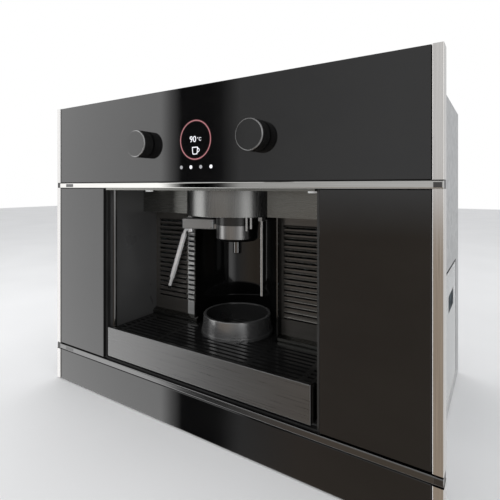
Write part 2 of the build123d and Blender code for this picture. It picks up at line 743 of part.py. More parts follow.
with BuildPart() as top_cover:
    slab(-body_half, body_half, y_body, y_inner, body_top - sheet, body_top)
    slab(-body_half + sheet, body_half - sheet, y_inner - sheet, y_inner, body_top - top_flange, body_top - sheet)
    for x in screw_places:
        rod(x, y_inner - sheet, z_screws[1], screw_r, sheet, (0, 1, 0), Mode.SUBTRACT)
    with BuildSketch(Plane.XY.offset(body_top - sheet)) as vents:
        with Locations((0, y_cover - top_vent_front)):
            with GridLocations(top_vent_pitch, 0, top_vents, 1):
                SlotOverall(top_vent_length, vent_width, rotation=90)
    extrude(vents.sketch, amount=sheet, mode=Mode.SUBTRACT)
finish(top_cover, "top_cover")

inlet_x = -210.0            # mains inlet, low at the back
inlet_up = 60.0
inlet_width = 32.0
inlet_height = 24.0
inlet_depth = 26.0
inlet_wall = 5.0
rear_vents = 14
rear_vent_pitch = 28.0
rear_vent_length = 60.0
rear_vent_up = 370.0
with BuildPart() as rear_cover:
    slab(-body_half, body_half, y_inner, y_cover, foot_height, body_top)
    with BuildSketch(Plane.XZ.offset(-y_inner)) as vents:
        with Locations((0, rear_vent_up)):
            with GridLocations(rear_vent_pitch, 0, rear_vents, 1):
                SlotOverall(rear_vent_length, vent_width, rotation=90)
        with Locations((inlet_x, inlet_up)):
            Rectangle(inlet_width, inlet_height)
    extrude(vents.sketch, amount=-sheet, mode=Mode.SUBTRACT)
    for x in screw_places:
        for z in z_screws:
            rod(x, y_inner, z, screw_r, sheet, (0, 1, 0), Mode.SUBTRACT)
finish(rear_cover, "rear_cover")

with BuildPart() as casing_screws:
    for x in screw_places:
        for z in z_screws:
            rod(x, y_cover, z, screw_head_r, screw_head, (0, 1, 0))
            rod(x, y_cover - screw_length, z, screw_r - fit, screw_length, (0, 1, 0))
finish(casing_screws, "casing_screws")

with BuildPart() as feet:
    for x in (-body_half + foot_inset, body_half - foot_inset):
        for y in (y_body + foot_front, y_cover - foot_rear):
            rod(x, y, 0, foot_r, foot_height)
finish(feet, "feet")

# ================================================================ inner units
boiler_x = -60.0
boiler_back = 110.0         # boiler axis in front of the rear cover
boiler_r = 48.0
boiler_low = 130.0
boiler_height = 150.0
boiler_round = 10.0
boiler_neck = 14.0
boiler_neck_r = 8.0
y_boiler = y_cover - boiler_back
z_boiler = boiler_low + boiler_height
with BuildPart() as boiler:
    with BuildSketch(Plane.XZ.offset(-y_boiler)) as section:
        with BuildLine():
            Polyline((boiler_x, boiler_low), (boiler_x + boiler_r - boiler_round, boiler_low),
                     (boiler_x + boiler_r, boiler_low + boiler_round), (boiler_x + boiler_r, z_boiler - boiler_round),
                     (boiler_x + boiler_r - boiler_round, z_boiler), (boiler_x, z_boiler), close=True)
        make_face()
    revolve(section.sketch, axis=Axis((boiler_x, y_boiler, 0), (0, 0, 1)))
    rod(boiler_x, y_boiler, z_boiler, boiler_neck_r, boiler_neck)
finish(boiler, "boiler")

# Pipe from the boiler to the brewing group.
pipe_r = 4.0
pipe_rise = 28.0            # pipe above the group head
pipe_bend = 16.0
z_neck_top = z_boiler + boiler_neck
with BuildPart() as brew_pipe:
    with BuildLine() as pipe_path:
        FilletPolyline((boiler_x, y_boiler, z_neck_top), (boiler_x, y_boiler, z_head + pipe_rise),
                       (0, y_axis, z_head + pipe_rise), (0, y_axis, z_head), radius=pipe_bend)
    with BuildSketch(Plane((boiler_x, y_boiler, z_neck_top), z_dir=(0, 0, 1))) as pipe_section:
        Circle(pipe_r)
    sweep(pipe_section.sketch, path=pipe_path.line)
finish(brew_pipe, "brew_pipe")

# The boiler stands on three legs.
leg_r = 5.0
leg_ring = 30.0
with BuildPart() as boiler_stand:
    with Locations(Location((boiler_x, y_boiler, z_pan))):
        with PolarLocations(leg_ring, 3):
            Cylinder(leg_r, boiler_low - z_pan, align=(Align.CENTER, Align.CENTER, Align.MIN))
finish(boiler_stand, "boiler_stand")

pump_x = 40.0
pump_length = 100.0
pump_r = 26.0
pump_back = 100.0
pump_up = 60.0
pump_nozzle = 12.0
pump_foot = 32.0
y_pump = y_cover - pump_back
with BuildPart() as pump:
    rod(pump_x, y_pump, pump_up, pump_r, pump_length, (1, 0, 0))
    rod(pump_x - pump_nozzle, y_pump, pump_up, pump_r / 3, pump_length + 2 * pump_nozzle, (1, 0, 0))
    slab(pump_x + pump_nozzle, pump_x + pump_length - pump_nozzle, y_pump - pump_foot / 2, y_pump + pump_foot / 2,
         z_pan, pump_up)
finish(pump, "pump")

valve_x = 60.0
valve_size = 40.0
valve_back = 60.0
valve_height = 44.0
valve_coil_r = 14.0
valve_coil = 34.0
with BuildPart() as solenoid_valve:
    slab(valve_x, valve_x + valve_size, y_cover - valve_back, y_cover - valve_back + valve_size,
         z_pan, z_pan + valve_height)
    rod(valve_x + valve_size / 2, y_cover - valve_back + valve_size / 2, z_pan + valve_height, valve_coil_r, valve_coil)
finish(solenoid_valve, "solenoid_valve")

with BuildPart() as power_inlet:
    slab(inlet_x - inlet_width / 2, inlet_x + inlet_width / 2, y_inner - inlet_depth, y_cover - seam,
         inlet_up - inlet_height / 2, inlet_up + inlet_height / 2)
    slab(inlet_x - inlet_width / 2 + inlet_wall, inlet_x + inlet_width / 2 - inlet_wall, y_inner - inlet_depth / 2,
         y_cover - seam, inlet_up - inlet_height / 2 + inlet_wall, inlet_up + inlet_height / 2 - inlet_wall,
         Mode.SUBTRACT)
finish(power_inlet, "power_inlet")

y_pull = y_tank + tank_length / 2
z_pull = z_shelf + pull_up
z_lid = z_shelf + tank_height
with BuildPart() as water_tank:
    slab(x_tank, body_half, y_tank, y_tank_end, z_shelf, z_lid)
    fillet(water_tank.edges().filter_by(Axis.Z), tank_round)
    slab(x_tank + tank_wall, body_half - tank_wall, y_tank + tank_wall, y_tank_end - tank_wall,
         z_shelf + tank_wall, z_lid, Mode.SUBTRACT)
    # Finger recess, pressed inwards from the outer face.
    slab(body_half - pull_depth - tank_wall, body_half - 1, y_pull - pull_width / 2 - tank_wall,
         y_pull + pull_width / 2 + tank_wall, z_pull - tank_wall, z_pull + pull_height + tank_wall)
    slab(body_half - pull_depth, body_half, y_pull - pull_width / 2, y_pull + pull_width / 2, z_pull,
         z_pull + pull_height, Mode.SUBTRACT)
finish(water_tank, "water_tank")

with BuildPart() as tank_lid:
    slab(x_tank, body_half, y_tank, y_tank_end, z_lid, z_lid + tank_wall)
    fillet(tank_lid.edges().filter_by(Axis.Z), tank_round)
finish(tank_lid, "tank_lid")
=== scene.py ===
"""Looks of a compact built in coffee machine, laid over its solids.

Metres. X runs to the right, Y to the back, Z up, with the origin under the middle of the machine.
"""

import math

import bmesh
import bpy
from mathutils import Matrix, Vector


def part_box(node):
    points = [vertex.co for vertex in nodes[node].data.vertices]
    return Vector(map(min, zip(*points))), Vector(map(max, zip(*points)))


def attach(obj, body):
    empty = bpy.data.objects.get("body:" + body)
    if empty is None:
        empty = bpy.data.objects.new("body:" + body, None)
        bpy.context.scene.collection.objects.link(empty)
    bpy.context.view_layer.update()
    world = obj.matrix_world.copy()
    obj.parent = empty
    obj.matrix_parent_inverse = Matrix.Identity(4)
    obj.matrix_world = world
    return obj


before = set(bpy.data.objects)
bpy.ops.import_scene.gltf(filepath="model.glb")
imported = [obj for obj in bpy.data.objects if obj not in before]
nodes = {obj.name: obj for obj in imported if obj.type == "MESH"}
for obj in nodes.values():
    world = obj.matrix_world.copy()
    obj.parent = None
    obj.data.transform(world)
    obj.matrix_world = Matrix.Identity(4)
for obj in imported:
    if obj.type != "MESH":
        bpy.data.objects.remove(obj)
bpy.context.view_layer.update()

MM = 0.001
BODY = "chassis"

# ---------------------------------------------------------------- places taken from the solids


def middle_across(node):
    """Middle of a piece between its left and right ends."""
    low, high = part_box(node)
    return (low[0] + high[0]) / 2


knob_low, knob_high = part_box("left_knob")
knob_left_x = middle_across("left_knob")
knob_right_x = middle_across("right_knob")
knob_z = (knob_low[2] + knob_high[2]) / 2
knob_radius = (knob_high[0] - knob_low[0]) / 2
display_x = (knob_left_x + knob_right_x) / 2
y_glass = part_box("control_glass")[0][1]
bar_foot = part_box("upper_bar")[0][2]

# ---------------------------------------------------------------- the photograph's camera
PHOTO_SIZE = 500            # pixels, both ways
FOCAL_PIXELS = 395.8
CENTRE_X_PIXEL = 251.5      # column of the optical axis
HORIZON_PIXEL = 186.6       # row of the horizon
SENSOR = 36.0               # millimetres
NEAREST = 0.01              # nothing closer to the camera is drawn
YAW = 32.12                 # degrees to the left of straight on
CAMERA_RIGHT = 0.3401       # camera right of the machine's middle
CAMERA_AHEAD = 0.3951       # camera in front of the glass
CAMERA_UP = 0.0021          # camera above the upper bar's foot


def photo_camera():
    """Camera that stands to the right of the machine, level with the upper bar."""
    data = bpy.data.cameras.new("photo_camera")
    data.sensor_width = SENSOR
    data.lens = FOCAL_PIXELS * SENSOR / PHOTO_SIZE
    data.shift_x = (PHOTO_SIZE / 2 - CENTRE_X_PIXEL) / PHOTO_SIZE
    data.shift_y = (HORIZON_PIXEL - PHOTO_SIZE / 2) / PHOTO_SIZE
    data.clip_start = NEAREST
    camera = bpy.data.objects.new("photo_camera", data)
    camera.location = (CAMERA_RIGHT, y_glass - CAMERA_AHEAD, bar_foot + CAMERA_UP)
    camera.rotation_euler = (math.radians(90), 0, math.radians(YAW))
    bpy.context.scene.collection.objects.link(camera)
    bpy.context.scene.camera = camera


# ---------------------------------------------------------------- colours and shader nodes

MIX_OFF, MIX_ON, MIX_RESULT = 6, 7, 2       # a Mix node's colour sockets


def grey(level):
    """A neutral colour."""
    return (level, level, level)


def scaled(rgb, factor):
    """A colour made lighter or darker."""
    return tuple(part * factor for part in rgb)


def rgba(value):
    """A grey level or a colour with full opacity."""
    if isinstance(value, (int, float)):
        value = grey(value)
    return (*value, 1.0)


def add_node(tree, kind, **values):
    """A new node, with plain values set on its inputs."""
    node = tree.nodes.new(f"ShaderNode{kind}")
    for key, value in values.items():
        node.inputs[key.replace("_", " ")].default_value = value
    return node


def compute(tree, operation, *values):
    """A Math node, fed by sockets and plain numbers."""
    node = add_node(tree, "Math")
    node.operation = operation
    for socket, value in zip(node.inputs, values):
        if isinstance(value, bpy.types.NodeSocket):
            tree.links.new(value, socket)
        else:
            socket.default_value = value
    return node.outputs[0]


def split_axes(tree, source):
    """X, Y and Z of a vector or colour, each on its own."""
    node = add_node(tree, "SeparateXYZ")
    tree.links.new(source, node.inputs[0])
    return node.outputs


def gradient(tree, source, stops):
    """Colours or greys along a source."""
    node = add_node(tree, "ValToRGB")
    elements = node.color_ramp.elements
    for element, (position, value) in zip(elements, (stops[0], stops[-1])):
        element.position = position
        element.color = rgba(value)
    for position, value in stops[1:-1]:
        elements.new(position).color = rgba(value)
    tree.links.new(source, node.inputs["Fac"])
    return node.outputs["Color"]


def mix_colours(tree, factor, off, on):
    """One colour where the factor is 0 and another where it is 1."""
    node = add_node(tree, "Mix")
    node.data_type = "RGBA"
    tree.links.new(factor, node.inputs["Factor"])
    tree.links.new(off, node.inputs[MIX_OFF])
    tree.links.new(on, node.inputs[MIX_ON])
    return node.outputs[MIX_RESULT]


class Shader:
    """A Principled material whose sockets are fed from procedural nodes."""

    def __init__(self, name, **values):
        self.material = bpy.data.materials.new(name)
        self.material.use_nodes = True
        self.tree = self.material.node_tree
        self.bsdf = self.tree.nodes["Principled BSDF"]
        self.place = add_node(self.tree, "TexCoord").outputs["Object"]
        for key, value in values.items():
            self.bsdf.inputs[key.replace("_", " ")].default_value = value

    def noise(self, scale, stretch=(1, 1, 1), detail=4.0, rough=0.55):
        """Noise in the object's own space, stretched along its axes."""
        mapping = add_node(self.tree, "Mapping", Scale=stretch)
        texture = add_node(self.tree, "TexNoise", Scale=scale, Detail=detail, Roughness=rough)
        self.tree.links.new(self.place, mapping.inputs["Vector"])
        self.tree.links.new(mapping.outputs["Vector"], texture.inputs["Vector"])
        return texture.outputs["Fac"]

    def shade(self, socket, source, *stops):
        """Feed a socket with a gradient along a source. Noise runs from about 0.25 to about 0.8."""
        self.tree.links.new(gradient(self.tree, source, stops), self.bsdf.inputs[socket])

    def two_tone(self, factor, source, off, on):
        """Base colour with one gradient where the factor is 0 and another where it is 1."""
        colours = [gradient(self.tree, source, stops) for stops in (off, on)]
        self.tree.links.new(mix_colours(self.tree, factor, *colours), self.bsdf.inputs["Base Color"])

    def bump(self, source, height, strength):
        """Relief of a given height in metres."""
        bump = add_node(self.tree, "Bump", Distance=height, Strength=strength)
        self.tree.links.new(source, bump.inputs["Height"])
        self.tree.links.new(bump.outputs["Normal"], self.bsdf.inputs["Normal"])


# ---------------------------------------------------------------- materials


def across(squash):
    """Stretch that lays a grain's lines from side to side."""
    return (squash, 1, 1)


def upright(squash):
    """Stretch that lays a grain's lines from top to bottom."""
    return (1, 1, squash)


def brushed(name, tone, stretch, rough):
    """Brushed steel: long fine scratches along one axis."""
    shader = Shader(name, Metallic=1.0)
    grain = shader.noise(scale=900, stretch=stretch, detail=6.0, rough=0.7)
    shader.shade("Base Color", grain, (0.3, scaled(tone, 0.86)), (0.7, scaled(tone, 1.08)))
    shader.shade("Roughness", grain, (0.25, rough[0]), (0.75, rough[1]))
    shader.bump(grain, height=0.02 * MM, strength=0.25)
    return shader.material


def polished(name, tone, rough=0.07):
    """Polished metal with faint wipe marks."""
    shader = Shader(name, Metallic=1.0)
    marks = shader.noise(scale=60, stretch=(1, 1, 3), detail=5.0)
    shader.shade("Base Color", marks, (0.35, scaled(tone, 0.94)), (0.7, tone))
    shader.shade("Roughness", marks, (0.3, rough * 0.6), (0.75, rough * 1.8))
    return shader.material


def black_glass(name):
    """Deep black glass with smudges that only show in its gloss."""
    shader = Shader(name, IOR=1.52, Specular_IOR_Level=0.5)
    smudge = shader.noise(scale=14, stretch=(1, 1, 1.6), detail=6.0, rough=0.6)
    shader.shade("Base Color", smudge, (0.3, (0.0030, 0.0030, 0.0034)), (0.8, (0.0060, 0.0058, 0.0056)))
    shader.shade("Roughness", smudge, (0.35, 0.02), (0.8, 0.07))
    return shader.material


def satin(name, dark, light, rough, scale=700, height=0.03 * MM, metallic=0.0):
    """Painted or moulded surface with a fine even grain."""
    shader = Shader(name, Metallic=metallic)
    grain = shader.noise(scale, detail=3.0)
    broad = shader.noise(scale=18, detail=3.0)
    shader.shade("Base Color", broad, (0.3, dark), (0.7, light))
    shader.shade("Roughness", broad, (0.3, rough[0]), (0.75, rough[1]))
    shader.bump(grain, height, strength=0.35)
    return shader.material


def spangled(name):
    """Galvanised sheet with its fine zinc flowers, their borders bent by noise."""
    shader = Shader(name, Metallic=0.85)
    tree = shader.tree
    noise = add_node(tree, "TexNoise", Scale=160)
    shift = add_node(tree, "VectorMath")
    shift.operation = "SCALE"
    shift.inputs["Scale"].default_value = 0.006
    bent = add_node(tree, "VectorMath")
    bent.operation = "ADD"
    flowers = add_node(tree, "TexVoronoi", Scale=110)
    tree.links.new(shader.place, noise.inputs["Vector"])
    tree.links.new(noise.outputs["Color"], shift.inputs[0])
    tree.links.new(shader.place, bent.inputs[0])
    tree.links.new(shift.outputs["Vector"], bent.inputs[1])
    tree.links.new(bent.outputs["Vector"], flowers.inputs["Vector"])
    flower = split_axes(tree, flowers.outputs["Color"])
    shader.shade("Base Color", flower["X"], (0.1, (0.43, 0.44, 0.45)), (0.9, (0.50, 0.51, 0.52)))
    shader.shade("Roughness", flower["Y"], (0.1, 0.34), (0.9, 0.46))
    shader.bump(shader.noise(scale=500, detail=3.0), height=0.01 * MM, strength=0.3)
    return shader.material


def clear_plastic(name):
    """Smoky clear plastic of the water tank and its lid."""
    shader = Shader(name, IOR=1.49, Transmission_Weight=0.85)
    haze = shader.noise(scale=30)
    shader.shade("Base Color", haze, (0.3, (0.60, 0.66, 0.70)), (0.8, (0.72, 0.77, 0.80)))
    shader.shade("Roughness", haze, (0.3, 0.05), (0.8, 0.14))
    return shader.material


def lens_with_painted_glow(name):
    """Clear lens of a small lamp, with a weak glow that is a painted highlight."""
    # the weak emission of the lens is a painted highlight
    shader = Shader(name, IOR=1.49, Emission_Strength=0.28, Roughness=0.2)
    ripple = shader.noise(scale=500, detail=2.0)
    shader.shade("Emission Color", ripple, (0.3, (0.75, 0.74, 0.70)), (0.7, (0.92, 0.91, 0.88)))
    shader.shade("Base Color", ripple, (0.3, (0.70, 0.72, 0.74)), (0.7, (0.80, 0.82, 0.84)))
    return shader.material


LOUVRE_PAINTED_HIGHLIGHT = (-0.099, -0.077)    # the narrow block of slits beside the recess is coloured light: a painted highlight
RING_SHADE_RADIUS = 0.0470                # the cup ring's bore wall, coloured as painted shade, is nearer to its axis than this


def louvre_sheet(name):
    """Grey louvred sheet with one light column that is a painted highlight, told apart by its place across.
    """
    shader = Shader(name, Metallic=0.6)
    grain = shader.noise(scale=420, stretch=across(0.05))
    place = split_axes(shader.tree, shader.place)
    middle = sum(LOUVRE_PAINTED_HIGHLIGHT) / 2
    half = (LOUVRE_PAINTED_HIGHLIGHT[1] - LOUVRE_PAINTED_HIGHLIGHT[0]) / 2
    painted_highlight = compute(shader.tree, "COMPARE", place["X"], middle, half)
    # the light greys of this column are a painted highlight on the slits
    shader.two_tone(painted_highlight, grain,
                    off=((0.3, (0.082, 0.077, 0.070)), (0.7, (0.104, 0.097, 0.089))),
                    on=((0.3, (0.62, 0.62, 0.61)), (0.7, (0.76, 0.76, 0.75))))
    shader.shade("Roughness", grain, (0.3, 0.16), (0.7, 0.26))
    shader.bump(grain, height=0.03 * MM, strength=0.3)
    return shader.material


def ring_metal(name):
    """Grey metal of the cup ring, darkened on the wall of its bore as painted shade."""
    low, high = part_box("cup_ring")
    shader = Shader(name, Metallic=0.8)
    tree = shader.tree
    to_axis = add_node(tree, "Mapping", Location=(-(low[0] + high[0]) / 2, -(low[1] + high[1]) / 2, 0),
                       Scale=(1, 1, 0))
    radius = add_node(tree, "VectorMath")
    radius.operation = "LENGTH"
    tree.links.new(shader.place, to_axis.inputs["Vector"])
    tree.links.new(to_axis.outputs["Vector"], radius.inputs[0])
    shaded_bore = compute(tree, "LESS_THAN", radius.outputs["Value"], RING_SHADE_RADIUS)
    grain = shader.noise(scale=18, detail=3.0)
    # the darker greys on the bore wall are painted shade
    shader.two_tone(shaded_bore, grain, off=((0.3, 0.21), (0.7, 0.26)), on=((0.3, 0.060), (0.7, 0.085)))
    shader.shade("Roughness", grain, (0.3, 0.2), (0.7, 0.3))
    shader.bump(shader.noise(scale=700, detail=3.0), height=0.02 * MM, strength=0.3)
    return shader.material


def glow(name, rgb, strength):
    """Lit mark behind the glass, a little uneven along its line."""
    shader = Shader(name, Base_Color=rgba(0.0), Emission_Strength=strength, Roughness=0.4)
    uneven = shader.noise(scale=220, detail=2.0)
    shader.shade("Emission Color", uneven, (0.3, scaled(rgb, 0.85)), (0.7, rgb))
    return shader.material


SMOOTH = {"scale": 300, "height": 0.01 * MM}        # grain of a surface that is nearly polished

MATERIALS = {
    "glass": black_glass("black_glass"),
    "bar": brushed("bar_steel", (0.45, 0.445, 0.43), across(0.012), rough=(0.03, 0.07)),
    # the lower bar's steel is a darker copy of the upper bar's steel: painted shade
    "shaded_bar": brushed("bar_steel_painted_shade", grey(0.13), across(0.012), rough=(0.10, 0.2)),
    "strip": brushed("strip_steel", (0.42, 0.415, 0.41), upright(0.012), rough=(0.14, 0.24)),
    # the right strip's steel is a lighter copy of the left strip's steel: painted light
    "right_strip": brushed("right_strip_steel_painted_lighter", (0.60, 0.585, 0.57), upright(0.012), rough=(0.14, 0.24)),
    "niche_steel": brushed("niche_steel", (0.17, 0.17, 0.16), across(0.02), rough=(0.20, 0.34)),
    "housing": brushed("housing_steel", (0.20, 0.20, 0.196), upright(0.02), rough=(0.22, 0.33)),
    "tray_front": brushed("tray_steel", grey(0.145), across(0.012), rough=(0.24, 0.38)),
    "chrome": polished("polished_steel", grey(0.62)),
    "pipe": polished("pipe_steel", grey(0.36), rough=0.16),
    "bead": polished("bead_steel", grey(0.15), rough=0.12),
    "bowl": brushed("bowl_steel", (0.235, 0.232, 0.23), upright(0.03), rough=(0.25, 0.36)),
    "wand": satin("wand_steel", grey(0.80), grey(0.86), rough=(0.14, 0.24), metallic=0.35, **SMOOTH),
    "lens": lens_with_painted_glow("lens_clear"),
    "liner": satin("liner_grey", grey(0.058), grey(0.066), rough=(0.27, 0.33)),
    "louvre": louvre_sheet("louvre_grey"),
    "gloss": satin("gloss_black", grey(0.002), grey(0.004), rough=(0.04, 0.09), **SMOOTH),
    "grille": satin("grille_black", grey(0.006), grey(0.011), rough=(0.12, 0.2)),
    "ring": ring_metal("ring_grey"),
    "handle": satin("handle_grey", grey(0.24), grey(0.29), rough=(0.26, 0.38), metallic=0.5),
    "plastic": satin("black_plastic", grey(0.010), grey(0.018), rough=(0.35, 0.5)),
    "knob": satin("knob_black", grey(0.006), grey(0.010), rough=(0.07, 0.13), **SMOOTH),
    "group": satin("group_black", (0.012, 0.0115, 0.011), (0.020, 0.019, 0.018), rough=(0.24, 0.36),
                   metallic=0.2),
    "cast": satin("cast_metal", (0.16, 0.155, 0.15), (0.24, 0.235, 0.23), rough=(0.32, 0.5), metallic=0.8),
    "zinc": spangled("zinc_sheet"),
    "clear": clear_plastic("clear_plastic"),
    "board": satin("board_green", (0.02, 0.09, 0.04), (0.03, 0.12, 0.06), rough=(0.35, 0.5)),
    "copper": polished("copper", (0.72, 0.40, 0.28), rough=0.16),
}

DRESS = {
    "glass": ("control_glass", "left_glass", "right_glass", "lower_glass"),
    "bar": ("upper_bar",),
    "shaded_bar": ("lower_bar",),
    "strip": ("left_strips",),
    "right_strip": ("right_strips",),
    "niche_steel": ("niche_top", "valances", "back_ledges", "niche_ceiling"),
    "housing": ("group_housing",),
    "tray_front": ("tray_front",),
    "chrome": ("filter_basket", "shower_screen"),
    "pipe": ("water_pipes",),
    "wand": ("wand_tube", "wand_sleeve"),
    "bead": ("niche_trims", "coffee_spout"),
    "bowl": ("portafilter_bowl",),
    "liner": ("niche_wall_left", "niche_wall_right", "niche_floor"),
    "louvre": ("back_panel_left", "back_panel_right"),
    "gloss": ("recess_column", "tray_tub"),
    "grille": ("drip_grille",),
    "ring": ("cup_ring",),
    "handle": ("portafilter_handle",),
    "plastic": ("front_carrier", "corner_blocks", "group_gasket", "wand_tip", "display_module", "feet",
                "encoders", "left_press_stem", "right_press_stem", "pump", "power_inlet"),
    "knob": ("left_knob", "right_knob"),
    "group": ("group_head",),
    "cast": ("boiler", "solenoid_valve"),
    "zinc": ("base_pan", "side_panel_left", "side_panel_right", "top_cover", "rear_cover",
             "casing_screws", "boiler_stand"),
    "clear": ("water_tank", "tank_lid"),
    "lens": ("niche_lamps",),
    "board": ("control_board",),
    "copper": ("brew_pipe",),
}


def dress_nodes():
    """Give each solid its finished material."""
    for key, names in DRESS.items():
        for name in names:
            piece = nodes[name]
            if not piece.material_slots:
                piece.data.materials.append(MATERIALS[key])
            for slot in piece.material_slots:
                slot.material = MATERIALS[key]


# ---------------------------------------------------------------- shapes modelled here


def add_mesh(name, bm, material, body, smooth=False):
    """Turn a bmesh into a piece that rides on a body."""
    mesh = bpy.data.meshes.new(name)
    bmesh.ops.recalc_face_normals(bm, faces=bm.faces)
    bm.to_mesh(mesh)
    bm.free()
    mesh.materials.append(material)
    for face in mesh.polygons:
        face.use_smooth = smooth
    piece = bpy.data.objects.new(name, mesh)
    bpy.context.scene.collection.objects.link(piece)
    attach(piece, body)


def prism(bm, first, last):
    """Close the space between two matching outlines of points."""
    near = [bm.verts.new(point) for point in first]
    far = [bm.verts.new(point) for point in last]
    bm.faces.new(near)
    bm.faces.new(far)
    for n in range(len(near)):
        m = (n + 1) % len(near)
        bm.faces.new((near[n], near[m], far[m], far[n]))


def lathe_y(profile, x, z, steps=96):
    """Spin a closed profile of (radius, y) points about an axis along Y."""
    bm = bmesh.new()
    rings = []
    for n in range(steps):
        angle = 2 * math.pi * n / steps
        right, up = math.cos(angle), math.sin(angle)
        rings.append([bm.verts.new((x + r * right, y, z + r * up)) for r, y in profile])
    for n in range(steps):
        ring, after = rings[n], rings[(n + 1) % steps]
        for k in range(len(profile)):
            m = (k + 1) % len(profile)
            bm.faces.new((ring[k], ring[m], after[m], after[k]))
    return bm


def disc_y(x, y, z, radius, thick, steps=48):
    """Thin round plate that faces the front."""
    angles = [2 * math.pi * n / steps for n in range(steps)]
    rim = [(x + radius * math.cos(angle), z + radius * math.sin(angle)) for angle in angles]
    bm = bmesh.new()
    prism(bm, [(right, y - thick, up) for right, up in rim], [(right, y, up) for right, up in rim])
    return bm


EDGE_ROUND = 0.12 * MM      # softened edge of a thin plate


def thin_plate(name, low, high, material):
    """Plate between two corners, with softened edges."""
    bm = bmesh.new()
    bmesh.ops.create_cube(bm, size=1.0)
    for vertex in bm.verts:
        for axis in range(3):
            middle = (low[axis] + high[axis]) / 2
            vertex.co[axis] = middle + vertex.co[axis] * (high[axis] - low[axis])
    bmesh.ops.bevel(bm, geom=list(bm.edges), offset=EDGE_ROUND, segments=2, affect="EDGES", profile=0.5)
    add_mesh(name, bm, material, BODY)


# ---------------------------------------------------------------- lit marks of the display

FILM = 0.12 * MM            # lit marks lie this thick on the glass
RING_RADIUS = 25.1 * MM
RING_LINE = 0.40 * MM       # half the width of the ring's line
RING_GLOW = 1.3 * MM        # half the width of the dim light beside the line
RING_UP = 1.2 * MM          # ring's middle above the knobs' axis

WORDS = (                   # name, characters, size, right of the middle, above the knobs' axis
    ("display_temperature", "90", 11.3 * MM, -3.9 * MM, 1.8 * MM),
    ("display_unit", "°C", 6.4 * MM, 6.8 * MM, 1.6 * MM),
)

MUG_MIDDLE = -0.4 * MM      # right of the display's middle
MUG_TOP = -8.4 * MM         # above the knobs' axis
MUG_BASE = -17.2 * MM
MUG_TOP_HALF = 4.5 * MM
MUG_BASE_HALF = 3.4 * MM
MUG_LINE = 0.55 * MM        # half the width of its lines
HANDLE_INSET = 0.6 * MM     # handle's middle inside the mug's edge
HANDLE_Z = -12.2 * MM
HANDLE_REACH = 3.4 * MM
HANDLE_RISE = 2.5 * MM
HANDLE_STEP = 20            # degrees

TOUCH_COUNT = 4
TOUCH_MIDDLE = 1.0 * MM     # right of the display's middle
TOUCH_PITCH = 16.5 * MM
TOUCH_DROP = 34.0 * MM      # below the knobs' axis
TOUCH_RADIUS = 2.4 * MM


def display_ring():
    """Red ring of light with a dim glow beside its line."""
    red = glow("ring_red", (0.58, 0.22, 0.24), strength=1.1)
    dim_red = glow("ring_glow", (0.075, 0.005, 0.009), strength=1.0)
    for name, half_line, film, material in (("display_ring", RING_LINE, FILM, red),
                                            ("display_ring_glow", RING_GLOW, FILM / 2, dim_red)):
        profile = ((RING_RADIUS - half_line, y_glass), (RING_RADIUS + half_line, y_glass),
                   (RING_RADIUS + half_line, y_glass - film), (RING_RADIUS - half_line, y_glass - film))
        add_mesh(name, lathe_y(profile, display_x, knob_z + RING_UP), material, BODY)


def display_words(material):
    """Water temperature and its unit."""
    for name, characters, size, right, up in WORDS:
        text = bpy.data.curves.new(name, "FONT")
        text.body = characters
        text.size = size
        text.align_x = "CENTER"
        text.align_y = "CENTER"
        text.extrude = FILM / 2
        text.materials.append(material)
        label = bpy.data.objects.new(name, text)
        label.location = (display_x + right, y_glass - FILM / 2, knob_z + up)
        label.rotation_euler = (math.radians(90), 0, 0)
        bpy.context.scene.collection.objects.link(label)
        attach(label, BODY)


def strokes(bm, points):
    """Straight lines from point to point, as thin plates on the glass."""
    for (x0, z0), (x1, z1) in zip(points, points[1:]):
        side = Vector((z0 - z1, 0, x1 - x0)).normalized() * MUG_LINE
        start, end = Vector((x0, 0, z0)), Vector((x1, 0, z1))
        outline = (start - side, end - side, end + side, start + side)
        prism(bm, [(p.x, y_glass, p.z) for p in outline], [(p.x, y_glass - FILM, p.z) for p in outline])


def display_mug(material):
    """A mug in outline, its handle at the right."""
    middle = display_x + MUG_MIDDLE
    top, base = knob_z + MUG_TOP, knob_z + MUG_BASE
    handle_x = middle + MUG_TOP_HALF - HANDLE_INSET
    handle_z = knob_z + HANDLE_Z
    angles = [math.radians(step) for step in range(0, 181, HANDLE_STEP)]
    handle = [(handle_x + HANDLE_REACH * math.sin(a), handle_z + HANDLE_RISE * math.cos(a)) for a in angles]
    bm = bmesh.new()
    strokes(bm, ((middle - MUG_TOP_HALF, top), (middle - MUG_BASE_HALF, base), (middle + MUG_BASE_HALF, base),
                 (middle + MUG_TOP_HALF, top), (middle - MUG_TOP_HALF, top)))
    strokes(bm, handle)
    add_mesh("display_cup", bm, material, BODY)


def touch_points(white, dim_white):
    """Row of touch points, every other one dim."""
    for n in range(TOUCH_COUNT):
        right = TOUCH_MIDDLE + (n - (TOUCH_COUNT - 1) / 2) * TOUCH_PITCH
        dot = disc_y(display_x + right, y_glass, knob_z - TOUCH_DROP, TOUCH_RADIUS, FILM)
        add_mesh(f"touch_point_{n + 1}", dot, white if n % 2 else dim_white, BODY)


# ---------------------------------------------------------------- thin trim

RIM_CHAMFER = 1.6 * MM      # knob's front chamfer, which the rim covers
RIM_SKIN = 0.12 * MM        # rim outside the knob's grip
RIM_EASE = 0.2 * MM         # rim's outer corner short of the chamfer's end
RIM_SINK = 0.4 * MM         # rim's hidden corner inside the knob
RIM_BACK = 0.3 * MM         # and behind the chamfer
RIM_DEPTH = 0.5 * MM        # rim's hidden depth at its inner edge


